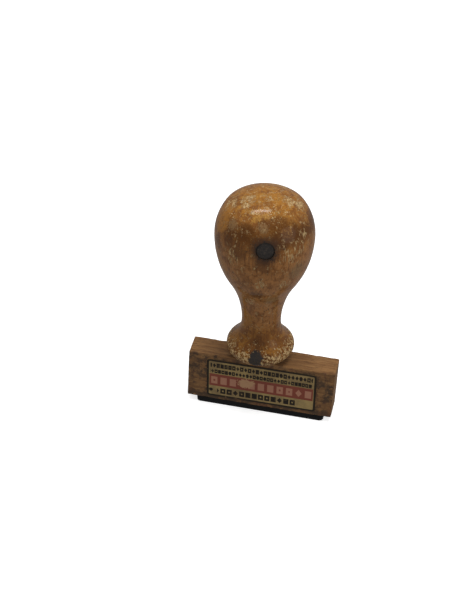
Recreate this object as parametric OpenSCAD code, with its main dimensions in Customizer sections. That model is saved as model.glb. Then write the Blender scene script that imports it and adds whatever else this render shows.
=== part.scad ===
// Hand stamp: a turned knob handle, screwed to a narrow upright mount that carries a rubber die.
// The front is -Y. The printing face looks down and lies in the plane z = 0.

/* [Mount] */
// Length of the mount, along X
mount_length = 52.5; // [44:0.5:70]
// Depth of the mount, front to back
mount_depth = 9; // [8:0.2:14]
// Height of the mount
mount_height = 20.2; // [16:0.2:30]
// Lean of both sawn ends, in degrees
end_lean = 1.4; // [0:0.2:4]

/* [Rubber] */
// How far the rubber stops short of each end of the mount
rubber_end_inset = 3; // [1:0.2:6]
// How far the rubber stops short of the front and back faces
rubber_side_inset = 0.2; // [0:0.1:1]
// Radius of the rubber's corners
rubber_corner = 1.5; // [0.5:0.1:2.5]
// Thickness of the sponge layer glued under the mount
cushion_thickness = 0.8; // [0.5:0.1:2]
// Thickness of the die's backing sheet
die_sheet = 0.9; // [0.6:0.1:2]
// Height of the raised printing pattern
relief_height = 0.8; // [0.4:0.1:1.2]
// Width of the raised border line
border_width = 0.8; // [0.5:0.1:1.2]
// Distance from one raised lozenge to the next
lozenge_pitch = 4.4; // [3.4:0.2:7]
// Side of one raised lozenge
lozenge_side = 2; // [1.2:0.1:2.2]

/* [Handle] */
// Height of the handle above the mount
handle_height = 68; // [56:0.5:90]
// Place of the handle along the mount, from its middle
handle_shift = -1.3; // [-4:0.1:4]
// Greatest diameter of the knob
knob_diameter = 33.6; // [28:0.1:38]
// Height of the knob above its widest level
knob_rise = 16; // [13:0.1:18]
// Radius of the arc around the knob's widest level
knob_side_radius = 19.1; // [17.5:0.1:24]
// Radius of the arc that rounds the knob's shoulder
shoulder_radius = 6.3; // [4:0.1:9]
// Radius of the domed crown
crown_radius = 20.5; // [18:0.5:36]
// Share of the curve from knob to neck that bulges outward
knob_swell = 0.5; // [0.3:0.02:0.6]
// Diameter of the neck at its thinnest
neck_diameter = 13.6; // [11:0.1:17]
// Height of the thinnest part of the neck above the mount
neck_level = 16; // [14:0.2:20]
// Greatest diameter of the foot
foot_diameter = 23.8; // [19:0.1:28]
// Height of the foot's widest level above the mount
foot_level = 5.7; // [5:0.1:8]
// Radius of the foot's rounded rim
foot_rim_radius = 2.5; // [1.5:0.1:3.5]
// How far the foot's seat stays inside the depth of the mount
seat_inset = 0.1; // [0:0.1:1]

/* [Front marker] */
// Diameter of the dark peg that marks the front
marker_diameter = 6; // [4:0.1:8]
// Length of the peg
marker_length = 8; // [5:0.5:11]
// Height of the peg above the knob's widest level
marker_rise = 4.1; // [0:0.1:6]
// Turn of the handle and its peg from straight ahead, in degrees
marker_turn = 12; // [-20:1:20]
// Depth of the peg's face below the wood around it
marker_recess = 0.3; // [0.1:0.1:1]
// Radius of the peg's domed face
marker_dome = 16; // [10:1:40]

/* [Screw] */
// Length of the wood screw
screw_length = 35; // [30:1:44]
// Diameter of the screw's shank and thread
screw_diameter = 3; // [2.5:0.1:3.5]
// Diameter of the countersunk head
head_diameter = 5.8; // [5:0.1:6.4]
// Depth of the head below the underside of the mount
head_recess = 0.3; // [0.1:0.1:1]
// Clearance around the shank in the mount
shank_clearance = 0.1; // [0.05:0.05:0.3]
// Depth of the thread
thread_depth = 0.45; // [0.3:0.05:0.6]
// Distance from one thread ridge to the next
thread_pitch = 1.4; // [1:0.1:2]
// Bite of the thread into the pilot hole's wall
thread_bite = 0.3; // [0.1:0.05:0.4]

/* [Label] */
// Length of the paper label
label_length = 39.6; // [30:0.2:42]
// How far the label stays inside the top and bottom edges of the front face
label_edge = 1.7; // [1.4:0.1:4]
// Thickness of the paper and its glue
label_thickness = 0.15; // [0.1:0.05:0.3]
// Radius of the label's corners
label_corner = 1.3; // [0.4:0.1:3]
// Place of the label along the mount, from its middle
label_shift = 0.4; // [-2:0.1:2]
// How far the label sits below the middle of the front face
label_drop = 0.2; // [-0.5:0.1:0.5]
// Skew of the label as it was glued on, in degrees
label_skew = 0.2; // [-2:0.1:2]

/* [Hidden] */

round_faces = 96;
arc_step = 5;      // degrees of turn for each short straight of a turned outline
overshoot = 1;     // how far a cutting shape runs past the face that it cuts

mount_base = cushion_thickness + die_sheet + relief_height;
mount_top = mount_base + mount_height;
end_offset = tan(end_lean) * mount_height / 2;
rubber_size = [mount_length - 2 * rubber_end_inset, mount_depth - 2 * rubber_side_inset];

knob_radius = knob_diameter / 2;
knob_level = handle_height - knob_rise;
neck_radius = neck_diameter / 2;
foot_radius = foot_diameter / 2;
seat_radius = mount_depth / 2 - seat_inset;

shank_radius = screw_diameter / 2;
head_radius = head_diameter / 2;
core_radius = shank_radius - thread_depth;
pilot_radius = shank_radius - thread_bite;
label_size = [label_length, mount_height - 2 * label_edge];
head_level = mount_base + head_recess;
head_height = head_radius - shank_radius;
point_height = 2.4;
thread_start = mount_top - head_level + 2;     // the first ridge bites just inside the handle
tip_clearance = 1;

marker_radius = marker_diameter / 2;
marker_tilt = asin(marker_rise / knob_side_radius);

// Points of an arc from angle a to angle b, without its first point.
function arc(centre, radius, a, b) =
    let (steps = max(2, ceil(abs(b - a) / arc_step)))
    [for (i = [1:steps])
        let (t = a + (b - a) * i / steps)
        centre + radius * [cos(t), sin(t)]];

// An ogee joins a wide level to a narrow one with two tangent arcs, both upright at their far ends.
// span is [change of radius, change of height]; the result is the sum of the two arcs' radii.
function ogee_sum(span) = (span.x * span.x + span.y * span.y) / (2 * span.x);
function ogee_angle(span) = atan2(span.y, ogee_sum(span) - span.x);

// Where two circles meet, to the right of the way from the first centre to the second.
function meet(p, p_radius, q, q_radius) =
    let (
        gap = norm(q - p),
        along = (p_radius * p_radius - q_radius * q_radius + gap * gap) / (2 * gap),
        aside = sqrt(p_radius * p_radius - along * along),
        unit = (q - p) / gap)
    p + along * unit + aside * [unit.y, -unit.x];

function bearing(from, to) = atan2(to.y - from.y, to.x - from.x);

// Half outline of the foot: a straight underside, the rounded rim and the cove up to the neck.
function foot_outline() =
    let (
        rim = [foot_radius - foot_rim_radius, foot_level],
        seat = [seat_radius, 0],
        underside = bearing(seat, rim) - asin(foot_rim_radius / norm(rim - seat)),
        span = [foot_radius - neck_radius, neck_level - foot_level],
        cove_radius = ogee_sum(span) - foot_rim_radius,
        turn = ogee_angle(span),
        rim_start = rim + foot_rim_radius * [cos(underside - 90), sin(underside - 90)])
    concat(
        [[0, 0], seat, rim_start],
        arc(rim, foot_rim_radius, underside - 90, turn),
        arc([neck_radius + cove_radius, neck_level], cove_radius, 180 + turn, 180));

// Half outline from the neck to the knob's widest level.
function neck_outline() =
    let (
        span = [knob_radius - neck_radius, knob_level - neck_level],
        swell_radius = knob_swell * ogee_sum(span),
        hollow_radius = ogee_sum(span) - swell_radius,
        turn = ogee_angle(span))
    concat(
        arc([neck_radius + hollow_radius, neck_level], hollow_radius, 180, 180 - turn),
        arc([knob_radius - swell_radius, knob_level], swell_radius, -turn, 0));

// Half outline of the knob's top: side, shoulder and crown, each arc tangent to the next.
function crown_outline() =
    let (
        side = [knob_radius - knob_side_radius, knob_level],
        crown = [0, handle_height - crown_radius],
        shoulder = meet(crown, crown_radius - shoulder_radius, side, knob_side_radius - shoulder_radius),
        side_end = bearing(side, shoulder),
        shoulder_end = bearing(crown, shoulder))
    concat(
        arc(side, knob_side_radius, 0, side_end),
        arc(shoulder, shoulder_radius, side_end, shoulder_end),
        arc(crown, crown_radius, shoulder_end, 90));

module rounded_rect(size, corner) {
    square([size.x - 2 * corner, size.y], center = true);
    square([size.x, size.y - 2 * corner], center = true);
    for (x = [-1, 1], y = [-1, 1])
        translate([x * (size.x / 2 - corner), y * (size.y / 2 - corner)])
            circle(r = corner, $fn = round_faces);
}

// Places its children with z = 0 on the mount's top, on the handle's axis.
module at_handle() {
    translate([handle_shift, 0, mount_top])
        children();
}

// Places its children with +Z pointing out of the knob at the marker, and z = 0 on the surface.
module at_marker() {
    at_handle()
        translate([0, 0, knob_level])
            rotate([0, 0, marker_turn])
                translate([0, knob_side_radius - knob_radius, 0])
                    rotate([90 - marker_tilt, 0, 0])
                        translate([0, 0, knob_side_radius])
                            children();
}

module handle() {
    color([0.60, 0.34, 0.13])
        difference() {
            at_handle()
                rotate_extrude($fn = round_faces)
                    polygon(concat(foot_outline(), neck_outline(), crown_outline()));
            at_handle()
                translate([0, 0, -overshoot])
                    cylinder(
                        h = overshoot + screw_length + head_level - mount_top + tip_clearance,
                        r = pilot_radius, $fn = round_faces);
            at_marker()
                translate([0, 0, -marker_recess - marker_length])
                    cylinder(h = marker_length + marker_recess + overshoot, r = marker_radius, $fn = round_faces);
        }
}

// The peg's domed face is highest in the middle and drops away evenly to its rim.
module front_marker() {
    rim_drop = marker_dome - sqrt(marker_dome * marker_dome - marker_radius * marker_radius);
    rim_angle = acos(marker_radius / marker_dome);
    color([0.12, 0.11, 0.11])
        at_marker()
            translate([0, 0, -marker_recess - marker_length])
                rotate_extrude($fn = round_faces)
                    polygon(concat(
                        [[0, 0], [marker_radius, 0], [marker_radius, marker_length - rim_drop]],
                        arc([0, marker_length - marker_dome], marker_dome, rim_angle, 90)));
}

module mount() {
    half = mount_length / 2;
    color([0.42, 0.27, 0.17])
        difference() {
            translate([0, mount_depth / 2, mount_base])
                rotate([90, 0, 0])
                    linear_extrude(mount_depth)
                        polygon([
                            [-half - end_offset, 0],
                            [half - end_offset, 0],
                            [half + end_offset, mount_height],
                            [-half + end_offset, mount_height]]);
            translate([handle_shift, 0, mount_base - overshoot])
                cylinder(h = mount_height + 2 * overshoot, r = shank_radius + shank_clearance, $fn = round_faces);
            translate([handle_shift, 0, mount_base - overshoot])
                cylinder(h = overshoot + head_recess, r = head_radius, $fn = round_faces);
            translate([handle_shift, 0, head_level])
                cylinder(h = head_height, r1 = head_radius, r2 = shank_radius, $fn = round_faces);
        }
}

module label() {
    color([0.72, 0.62, 0.40])
        translate([label_shift, -mount_depth / 2, mount_base + mount_height / 2 - label_drop])
            rotate([90, 0, 0])
                rotate([0, 0, label_skew])
                    linear_extrude(label_thickness)
                        rounded_rect(label_size, label_corner);
}

// A slotted countersunk wood screw; the thread is a row of ridges.
module mounting_screw() {
    thread_end = screw_length - point_height;
    ridges = floor((thread_end - thread_start) / thread_pitch);
    ridge_points = [for (i = [0:ridges - 1])
        let (z = thread_start + i * thread_pitch)
        each [[core_radius, z], [shank_radius, z + thread_pitch / 2]]];
    slot_width = 0.9;
    slot_depth = 0.8;
    color([0.55, 0.55, 0.56])
        difference() {
            translate([handle_shift, 0, head_level])
                rotate_extrude($fn = round_faces)
                    polygon(concat(
                        [[0, 0], [head_radius, 0], [shank_radius, head_height]],
                        [[shank_radius, thread_start - thread_pitch / 2]],
                        ridge_points,
                        [[core_radius, thread_start + ridges * thread_pitch]],
                        [[core_radius, thread_end], [0, screw_length]]));
            translate([handle_shift - head_diameter, -slot_width / 2, head_level - overshoot])
                cube([2 * head_diameter, slot_width, slot_depth + overshoot]);
        }
}

module cushion() {
    color([0.16, 0.16, 0.16])
        translate([0, 0, relief_height + die_sheet])
            linear_extrude(cushion_thickness)
                rounded_rect(rubber_size, rubber_corner);
}

// The printing pattern: a border line around a row of lozenges with round dots between them.
module relief_pattern() {
    inner = [rubber_size.x - 2 * border_width, rubber_size.y - 2 * border_width];
    pairs = floor((inner.x - lozenge_pitch) / (2 * lozenge_pitch));
    dot_radius = 0.45;
    difference() {
        rounded_rect(rubber_size, rubber_corner);
        rounded_rect(inner, max(rubber_corner - border_width, 0.2));
    }
    for (i = [-pairs:pairs])
        translate([i * lozenge_pitch, 0])
            rotate(45)
                square(lozenge_side, center = true);
    for (i = [-pairs:pairs - 1], y = [-1, 1])
        translate([(i + 0.5) * lozenge_pitch, y * (inner.y / 2 - 3 * dot_radius)])
            circle(r = dot_radius, $fn = round_faces);
}

module rubber_die() {
    color([0.07, 0.07, 0.07]) {
        translate([0, 0, relief_height])
            linear_extrude(die_sheet)
                rounded_rect(rubber_size, rubber_corner);
        linear_extrude(relief_height)
            relief_pattern();
    }
}

handle();
front_marker();
mount();
label();
mounting_screw();
cushion();
rubber_die();
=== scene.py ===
import math

import bmesh
import bpy
from mathutils import Matrix, Vector, noise


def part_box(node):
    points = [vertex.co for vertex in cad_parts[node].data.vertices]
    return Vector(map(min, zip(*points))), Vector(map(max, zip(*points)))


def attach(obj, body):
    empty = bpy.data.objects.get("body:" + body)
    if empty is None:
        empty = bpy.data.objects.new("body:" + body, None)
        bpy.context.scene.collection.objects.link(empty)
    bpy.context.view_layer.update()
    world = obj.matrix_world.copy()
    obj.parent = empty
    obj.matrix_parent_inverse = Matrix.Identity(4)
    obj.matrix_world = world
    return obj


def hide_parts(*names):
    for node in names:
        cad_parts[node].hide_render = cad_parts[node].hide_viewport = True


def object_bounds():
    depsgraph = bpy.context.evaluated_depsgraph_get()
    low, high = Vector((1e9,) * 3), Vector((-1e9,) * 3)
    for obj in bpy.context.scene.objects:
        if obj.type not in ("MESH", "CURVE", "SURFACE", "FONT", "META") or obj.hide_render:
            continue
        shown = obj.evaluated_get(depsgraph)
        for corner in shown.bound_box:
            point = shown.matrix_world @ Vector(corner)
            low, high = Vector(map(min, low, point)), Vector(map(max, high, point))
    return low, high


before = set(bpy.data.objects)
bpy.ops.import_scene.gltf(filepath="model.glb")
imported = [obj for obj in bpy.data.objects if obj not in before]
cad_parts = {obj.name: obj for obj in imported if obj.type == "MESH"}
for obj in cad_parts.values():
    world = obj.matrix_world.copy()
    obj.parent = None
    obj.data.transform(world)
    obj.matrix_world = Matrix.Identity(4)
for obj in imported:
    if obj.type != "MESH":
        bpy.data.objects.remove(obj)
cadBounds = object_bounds()
print("frame loaded:", sorted(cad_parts))

mm = 0.001  # the scene is in metres, the tables below are in millimetres


# Shader building: a socket that can be used in sums, and one method that adds any node.

class Signal:
    def __init__(self, paint, socket):
        self.paint = paint
        self.socket = socket

    def math(self, operation, first, second):
        return self.paint.add("ShaderNodeMath", {"operation": operation}, {0: first, 1: second})

    def __add__(self, other):
        return self.math("ADD", self, other)

    def __radd__(self, other):
        return self.math("ADD", other, self)

    def __sub__(self, other):
        return self.math("SUBTRACT", self, other)

    def __rsub__(self, other):
        return self.math("SUBTRACT", other, self)

    def __mul__(self, other):
        return self.math("MULTIPLY", self, other)

    def __rmul__(self, other):
        return self.math("MULTIPLY", other, self)

    def __truediv__(self, other):
        return self.math("DIVIDE", self, other)

    def __rtruediv__(self, other):
        return self.math("DIVIDE", other, self)

    def __pow__(self, other):
        return self.math("POWER", self, other)

    def __rpow__(self, other):
        return self.math("POWER", other, self)


class Paint:
    def __init__(self, name):
        self.material = bpy.data.materials.new(name)
        self.material.use_nodes = True
        self.tree = self.material.node_tree
        self.shader = self.tree.nodes["Principled BSDF"]
        self.output = self.tree.nodes["Material Output"]

    # Settings come first, because they change which sockets a node has; "stops" fills a colour ramp.
    def add(self, kind, settings=None, inputs=None, out=0):
        node = self.tree.nodes.new(kind)
        for key, value in (settings or {}).items():
            if key == "stops":
                self.fillRamp(node.color_ramp, value)
            else:
                setattr(node, key, value)
        for key, value in (inputs or {}).items():
            self.feed(node.inputs[key], value)
        return Signal(self, node.outputs[out])

    def fillRamp(self, ramp, stops):
        while len(ramp.elements) < len(stops):
            ramp.elements.new(1.0)
        for element, (place, colour) in zip(ramp.elements, stops):
            element.position = place
            element.color = (*colour, 1.0)

    def feed(self, socket, value):
        if isinstance(value, Signal):
            self.tree.links.new(value.socket, socket)
        elif isinstance(value, tuple) and socket.type == "RGBA":
            socket.default_value = (*value, 1.0)
        else:
            socket.default_value = value

    # Object coordinates in millimetres, measured from a point given in metres.
    def place(self, origin=(0, 0, 0)):
        here = self.add("ShaderNodeTexCoord", out="Object")
        moved = self.add("ShaderNodeVectorMath", {"operation": "SUBTRACT"}, {0: here, 1: tuple(origin)})
        return self.add("ShaderNodeVectorMath", {"operation": "SCALE"}, {0: moved, "Scale": 1 / mm})

    # Millimetres along, up and out of the label, from its middle.
    def onLabel(self):
        here = self.add("ShaderNodeTexCoord", out="Object")
        return self.add("ShaderNodeMapping", {"vector_type": "TEXTURE"},
                        {"Vector": here, "Location": tuple(labelPlace.translation),
                         "Rotation": tuple(labelPlace.to_euler()), "Scale": (mm, mm, mm)})

    def split(self, vector):
        return [self.add("ShaderNodeSeparateXYZ", None, {0: vector}, out=axis) for axis in range(3)]

    def stretch(self, vector, scale):
        return self.add("ShaderNodeMapping", None, {"Vector": vector, "Scale": scale})

    def noise(self, vector, scale, detail=3.0, rough=0.55, warp=0.0):
        return self.add("ShaderNodeTexNoise", None,
                        {"Vector": vector, "Scale": scale, "Detail": detail,
                         "Roughness": rough, "Distortion": warp})

    # 0 below low, 1 above high, smooth between; low may be the larger one.
    def step(self, value, low, high):
        return self.add("ShaderNodeMapRange", {"interpolation_type": "SMOOTHSTEP"},
                        {"Value": value, "From Min": low, "From Max": high})

    # 1 between low and high, with soft edges.
    def band(self, value, low, high, soft):
        return self.step(value, low - soft, low + soft) * self.step(value, high + soft, high - soft)

    # 1 around a point, fading out at its radius.
    def spot(self, vector, centre, radius, squash=(1, 1, 1)):
        away = self.add("ShaderNodeVectorMath", {"operation": "SUBTRACT"}, {0: vector, 1: tuple(centre)})
        sized = self.add("ShaderNodeVectorMath", {"operation": "MULTIPLY"}, {0: away, 1: tuple(squash)})
        far = self.add("ShaderNodeVectorMath", {"operation": "LENGTH"}, {0: sized}, out="Value")
        return self.step(far, radius, radius * 0.25)

    def spots(self, vector, places):
        found = [self.spot(vector, *place) for place in places]
        whole = found[0]
        for one in found[1:]:
            whole = self.both(whole, one)
        return whole

    def both(self, first, second):
        return self.add("ShaderNodeMath", {"operation": "MAXIMUM"}, {0: first, 1: second})

    def least(self, first, second):
        return self.add("ShaderNodeMath", {"operation": "MINIMUM"}, {0: first, 1: second})

    def size(self, value):
        return self.add("ShaderNodeMath", {"operation": "ABSOLUTE"}, {0: value})

    def floor(self, value):
        return self.add("ShaderNodeMath", {"operation": "FLOOR"}, {0: value})

    def chance(self, value):
        return self.add("ShaderNodeTexWhiteNoise", {"noise_dimensions": "1D"}, {"W": value})

    def mix(self, amount, first, second, blend="MIX"):
        return self.add("ShaderNodeMix", {"data_type": "RGBA", "blend_type": blend, "clamp_factor": True},
                        {0: amount, 6: first, 7: second}, out=2)

    def ramp(self, value, *stops):
        return self.add("ShaderNodeValToRGB", {"stops": stops}, {0: value})

    def bump(self, height, distance, strength):
        return self.add("ShaderNodeBump", None,
                        {"Height": height, "Distance": distance, "Strength": strength})

    # Sets the shader's sockets, with _ for a space in their names, and returns the material.
    def finish(self, **sockets):
        for key, value in sockets.items():
            self.feed(self.shader.inputs[key.replace("_", " ")], value)
        return self.material


# A noise centred on 0.
def loud(value, gain):
    return (value - 0.5) * gain


# Mesh building.

def newPiece(name, mesh, material, node):
    piece = bpy.data.objects.new(name, mesh)
    bpy.context.scene.collection.objects.link(piece)
    mesh.materials.clear()
    mesh.materials.append(material)
    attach(piece, "root")
    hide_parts(node)
    print("piece", name, len(mesh.polygons), "faces")
    return piece


def meshFrom(name, points, faces):
    mesh = bpy.data.meshes.new(name)
    mesh.from_pydata([tuple(p) for p in points], [], faces)
    mesh.validate()
    tidyMesh(mesh)
    return mesh


def tidyMesh(mesh, sharpDegrees=38):
    work = bmesh.new()
    work.from_mesh(mesh)
    bmesh.ops.remove_doubles(work, verts=work.verts, dist=1e-7)
    bmesh.ops.recalc_face_normals(work, faces=work.faces)
    work.to_mesh(mesh)
    work.free()
    mesh.polygons.foreach_set("use_smooth", [True] * len(mesh.polygons))
    mesh.set_sharp_from_angle(angle=math.radians(sharpDegrees))


# Points of an arc in the plane, without its first point; angles in degrees.
def arc(centre, radius, start, end, spacing):
    steps = max(3, math.ceil(abs(math.radians(end - start)) * radius / spacing))
    turns = [math.radians(start + (end - start) * i / steps) for i in range(1, steps + 1)]
    return [(centre[0] + radius * math.cos(t), centre[1] + radius * math.sin(t)) for t in turns]


def straight(start, end, spacing):
    steps = max(1, math.ceil(math.dist(start, end) / spacing))
    return [tuple(a + (b - a) * i / steps for a, b in zip(start, end)) for i in range(1, steps + 1)]


# Turns a half outline, from the axis at the bottom to the axis at the top, into a closed mesh.
def turned(name, outline, segments, shape=None):
    shape = shape or (lambda p: p)
    inner = outline[1:-1]
    points = [shape(Vector((0, 0, outline[0][1]))), shape(Vector((0, 0, outline[-1][1])))]
    for radius, height in inner:
        for i in range(segments):
            t = 2 * math.pi * i / segments
            points.append(shape(Vector((radius * math.cos(t), radius * math.sin(t), height))))
    faces = []
    for i in range(segments):
        j = (i + 1) % segments
        faces.append((0, 2 + j, 2 + i))
        last = 2 + (len(inner) - 1) * segments
        faces.append((1, last + i, last + j))
        for k in range(len(inner) - 1):
            low = 2 + k * segments
            faces.append((low + i, low + j, low + segments + j, low + segments + i))
    return meshFrom(name, points, faces)


# Cuts tools out of a mesh, or joins them to it, and returns the resulting mesh.
def combined(name, mesh, tools, operation):
    scene = bpy.context.scene.collection
    body = bpy.data.objects.new("work." + name, mesh)
    scene.objects.link(body)
    helpers = [bpy.data.objects.new("tool", tool) for tool in tools]
    for helper in helpers:
        scene.objects.link(helper)
        cut = body.modifiers.new("cut", "BOOLEAN")
        cut.operation = operation
        cut.solver = "EXACT"
        cut.object = helper
    bpy.context.view_layer.update()
    shaped = body.evaluated_get(bpy.context.evaluated_depsgraph_get())
    result = bpy.data.meshes.new_from_object(shaped)
    result.name = name
    for leftover in [body, *helpers]:
        bpy.data.objects.remove(leftover)
    tidyMesh(result)
    return result


def wander(point, scale, seed):
    return noise.noise(Vector(point) * scale + Vector((seed, seed * 0.37, -seed * 0.61)))


# The turned beech handle, with its pilot hole and the hole for the front peg.

handleShape = {
    "knobRise": 16.0,  # the crown above the knob's widest level
    "sideRadius": 19.1,
    "shoulderRadius": 6.3,
    "crownRadius": 20.5,
    "swell": 0.5,  # share of the knob-to-neck curve that bulges
    "neckRadius": 6.8,
    "neckLevel": 16.0,
    "footRadius": 11.9,
    "footLevel": 5.7,
    "rimRadius": 2.5,
    "seatRadius": 4.4,
    "pilotRadius": 1.5,
    "pilotDepth": 16.1,
    "spacing": 0.36,  # distance between mesh lines
    "segments": 300,
    "dent": 0.09,  # depth of the shallow knocks
    "rimWear": 0.07,  # depth of the wear around the foot's rim
}
pegShape = {
    "radius": 3.0,
    "length": 8.0,
    "rise": 4.1,  # above the knob's widest level
    "turn": 12.0,  # degrees from straight ahead
    "recess": 0.3,
    "dome": 16.0,
    "gap": 0.03,  # dark gap around the peg
    "lip": 0.22,  # worn chamfer of the hole
}

handleLow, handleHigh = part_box("handle")
handleAxis = Vector(((handleLow.x + handleHigh.x) / 2, (handleLow.y + handleHigh.y) / 2, handleLow.z))
handleHeight = (handleHigh.z - handleLow.z) / mm
knobRadius = (handleHigh.y - handleLow.y) / 2 / mm
knobLevel = handleHeight - handleShape["knobRise"]


def ogee(span):
    total = (span[0] ** 2 + span[1] ** 2) / (2 * span[0])
    return total, math.degrees(math.atan2(span[1], total - span[0]))


def bearing(start, end):
    return math.degrees(math.atan2(end[1] - start[1], end[0] - start[0]))


def footOutline(s):
    rim = (s["footRadius"] - s["rimRadius"], s["footLevel"])
    seat = (s["seatRadius"], 0.0)
    under = bearing(seat, rim) - math.degrees(math.asin(s["rimRadius"] / math.dist(seat, rim)))
    total, turn = ogee((s["footRadius"] - s["neckRadius"], s["neckLevel"] - s["footLevel"]))
    cove = total - s["rimRadius"]
    rimStart = arc(rim, s["rimRadius"], under - 91, under - 90, s["spacing"])[-1]
    return [(0.0, 0.0), *straight((0.0, 0.0), seat, s["spacing"] * 3),
            *straight(seat, rimStart, s["spacing"]),
            *arc(rim, s["rimRadius"], under - 90, turn, s["spacing"]),
            *arc((s["neckRadius"] + cove, s["neckLevel"]), cove, 180 + turn, 180, s["spacing"])]


def neckOutline(s):
    total, turn = ogee((knobRadius - s["neckRadius"], knobLevel - s["neckLevel"]))
    swell = s["swell"] * total
    hollow = total - swell
    return [*arc((s["neckRadius"] + hollow, s["neckLevel"]), hollow, 180, 180 - turn, s["spacing"]),
            *arc((knobRadius - swell, knobLevel), swell, -turn, 0, s["spacing"])]


def crownOutline(s):
    side = (knobRadius - s["sideRadius"], knobLevel)
    crown = (0.0, handleHeight - s["crownRadius"])
    crownReach = s["crownRadius"] - s["shoulderRadius"]
    sideReach = s["sideRadius"] - s["shoulderRadius"]
    gap = math.dist(side, crown)
    along = (crownReach ** 2 - sideReach ** 2 + gap ** 2) / (2 * gap)
    aside = math.sqrt(crownReach ** 2 - along ** 2)
    unit = ((side[0] - crown[0]) / gap, (side[1] - crown[1]) / gap)
    shoulder = (crown[0] + along * unit[0] + aside * unit[1], crown[1] + along * unit[1] - aside * unit[0])
    sideEnd = bearing(side, shoulder)
    shoulderEnd = bearing(crown, shoulder)
    return [*arc(side, s["sideRadius"], 0, sideEnd, s["spacing"]),
            *arc(shoulder, s["shoulderRadius"], sideEnd, shoulderEnd, s["spacing"]),
            *arc(crown, s["crownRadius"], shoulderEnd, 90, s["spacing"])]


# Where the peg enters the knob: +Z of this place points out of the wood, z = 0 is the surface.
def pegPlace():
    tilt = math.asin(pegShape["rise"] / handleShape["sideRadius"])
    level = handleAxis + Vector((0, 0, knobLevel * mm))
    return (Matrix.Translation(level)
            @ Matrix.Rotation(math.radians(pegShape["turn"]), 4, "Z")
            @ Matrix.Translation((0, (handleShape["sideRadius"] - knobRadius) * mm, 0))
            @ Matrix.Rotation(math.radians(90) - tilt, 4, "X")
            @ Matrix.Translation((0, 0, handleShape["sideRadius"] * mm)))


# Shallow knocks and a worn foot rim; everything moves inwards, so the size stays the frame's.
def handleWear(point):
    radius = math.hypot(point.x, point.y)
    if radius < 0.5:
        return point
    knock = max(0.0, wander(point, 0.23, 3.1)) ** 1.5 * handleShape["dent"]
    rim = math.exp(-((point.z - handleShape["footLevel"]) / 2.2) ** 2)
    rim *= max(0.0, wander(point, 0.55, 8.4) + 0.05) * handleShape["rimWear"] * 2
    shoulder = math.exp(-((point.z - handleHeight + 4.5) / 3.5) ** 2)
    shoulder *= max(0.0, wander(point, 0.42, 5.7)) * handleShape["dent"]
    keep = 1 - (knock + rim + shoulder) / radius
    return Vector((point.x * keep, point.y * keep, point.z))


def buildHandle(material):
    s = handleShape
    outline = [*footOutline(s), *neckOutline(s), *crownOutline(s)]
    outline[-1] = (0.0, handleHeight)
    mesh = turned("handleTurned", outline, s["segments"], handleWear)
    mesh.transform(Matrix.Translation(handleAxis) @ Matrix.Scale(mm, 4))
    pilot = turned("pilot", [(0.0, -1.0), (s["pilotRadius"], -1.0),
                             (s["pilotRadius"], s["pilotDepth"]), (0.0, s["pilotDepth"])], 48)
    pilot.transform(Matrix.Translation(handleAxis) @ Matrix.Scale(mm, 4))
    p = pegShape
    hole = p["radius"] + p["gap"]
    socket = turned("socket", [(0.0, -p["recess"] - p["length"]), (hole, -p["recess"] - p["length"]),
                               (hole, -p["recess"] * 0.9), (hole + p["lip"], 0.25),
                               (hole + p["lip"], 2.0), (0.0, 2.0)], 96)
    socket.transform(pegPlace() @ Matrix.Scale(mm, 4))
    mesh = combined("handle", mesh, [pilot, socket], "DIFFERENCE")
    return newPiece("turnedHandle", mesh, material, "handle")


def pegFace(point):
    if point.z < pegShape["length"] - 1.5:
        return point
    sink = 0.05 * wander(point, 1.7, 2.0) + 0.03 * wander(point, 4.1, 6.0) + 0.05
    return Vector((point.x, point.y, point.z - max(0.0, sink)))


def buildPeg(material):
    p = pegShape
    rimDrop = p["dome"] - math.sqrt(p["dome"] ** 2 - p["radius"] ** 2)
    rounding = 0.3
    rimLevel = p["length"] - rimDrop - rounding * 0.8
    lean = math.degrees(math.acos((p["radius"] - rounding) / p["dome"]))
    outline = [(0.0, 0.0), *straight((0.0, 0.0), (p["radius"], 0.0), 0.5),
               *straight((p["radius"], 0.0), (p["radius"], rimLevel), 0.5),
               *arc((p["radius"] - rounding, rimLevel), rounding, 0, lean, 0.08),
               *arc((0.0, p["length"] - p["dome"]), p["dome"], lean, 90, 0.12)]
    outline[-1] = (0.0, p["length"])
    mesh = turned("frontPeg", outline, 72, pegFace)
    mesh.transform(pegPlace() @ Matrix.Translation((0, 0, -(p["recess"] + p["length"]) * mm))
                   @ Matrix.Scale(mm, 4))
    return newPiece("frontPeg", mesh, material, "front_marker")


# The wooden mount: a block with worn edges and leaning sawn ends.

mountShape = {
    "edge": 0.32,  # least rounding of an edge
    "edgeWear": 0.42,  # extra rounding where the edge is knocked
    "fineCell": 0.14,
    "cell": 0.55,
    "dent": 0.05,
    "boreRadius": 1.6,
    "headRadius": 2.9,
    "shankRadius": 1.5,
    "headRecess": 0.3,
    "lean": 1.4,  # degrees that the sawn ends lean
}
mountLow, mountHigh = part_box("mount")
labelLow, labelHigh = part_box("label")


def gridLine(length, fine, coarse, border=1.3):
    edge = [border * i / round(border / fine) for i in range(round(border / fine) + 1)]
    steps = max(1, math.ceil((length - 2 * border) / coarse))
    middle = [border + (length - 2 * border) * i / steps for i in range(1, steps)]
    line = [*edge, *middle, *[length - e for e in reversed(edge)]]
    return [value - length / 2 for value in line]


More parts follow.
